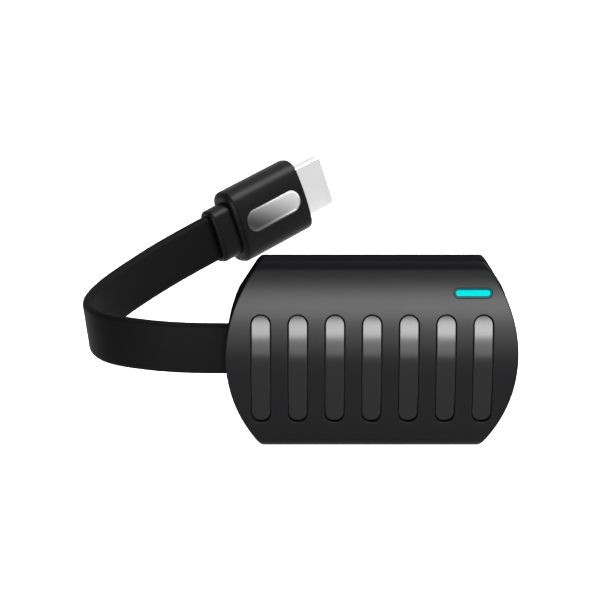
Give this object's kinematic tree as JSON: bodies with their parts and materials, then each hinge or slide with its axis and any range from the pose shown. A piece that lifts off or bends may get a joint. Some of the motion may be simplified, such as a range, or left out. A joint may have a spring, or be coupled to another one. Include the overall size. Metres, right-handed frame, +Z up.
{
  "type": "wireless display dongle",
  "caption": "Crowned black case on a short flat cable that ends in a video plug; it plugs into a screen and shows pictures sent to it without wires.",
  "frame": {"origin": "centre of the video plug's metal shell where it leaves the overmould, the place by which the dongle is held", "axes": "+X along the case's length towards the power socket, +Y through its thickness towards its flat back, +Z up across its two flats"},
  "size_m": [0.1049, 0.0891, 0.0549],
  "materials": {
    "satin_black": "satin moulded",
    "black_chrome": "polished dark chrome plate",
    "cyan_window": "lit translucent",
    "circuit_board": "solder mask",
    "screw_steel": "zinc plated",
    "chip_black": "moulded compound",
    "pad_grey": "soft pad",
    "spreader_aluminium": "stamped",
    "shield_tin": "tin plated",
    "lamp_white": "moulded",
    "ferrite": "sintered",
    "ceramic_tan": "fired ceramic",
    "insulator_black": "moulded",
    "contact_gold": "gold flash",
    "button_black": "satin moulded",
    "cable_black": "satin jacket",
    "core_white": "polyethylene",
    "plug_black": "satin moulded",
    "badge_aluminium": "satin anodised",
    "shell_nickel": "nickel plated"
  },
  "bodies": {
    "case": {"front_cover": "satin_black", "back_cover": "satin_black", "face_bars": "black_chrome", "indicator_lens": "cyan_window", "main_board": "circuit_board", "board_screws": "screw_steel", "processor": "chip_black", "thermal_pad": "pad_grey", "heat_spreader": "spreader_aluminium", "memory_chips": "chip_black", "flash_chip": "chip_black", "wireless_shield": "shield_tin", "wireless_chip": "chip_black", "antenna": "shield_tin", "indicator_lamp": "lamp_white", "crystal": "shield_tin", "power_inductor": "ferrite", "capacitors": "ceramic_tan", "power_socket_shell": "shield_tin", "power_socket_tongue": "insulator_black", "power_socket_contacts": "contact_gold", "switch_body": "insulator_black", "cable_gland": "cable_black", "cable_cores": "core_white", "plug_overmold": "plug_black", "plug_collar": "plug_black", "plug_badge": "badge_aluminium", "plug_shell": "shell_nickel", "plug_insulator": "insulator_black", "plug_contacts": "contact_gold", "plug_core_block": "core_white", "flat_cable": "cable_black"},
    "mode_button": {"mode_button": "button_black", "switch_plunger": "lamp_white"}
  },
  "joints": [
    {"name": "mode_button_press", "type": "slide", "parent": "case", "child": "mode_button", "axis": [-1, 0, 0], "range_m": [0, 0.00035], "stiffness_N_per_m": 1500, "springref_m": -0.0002}
  ]
}
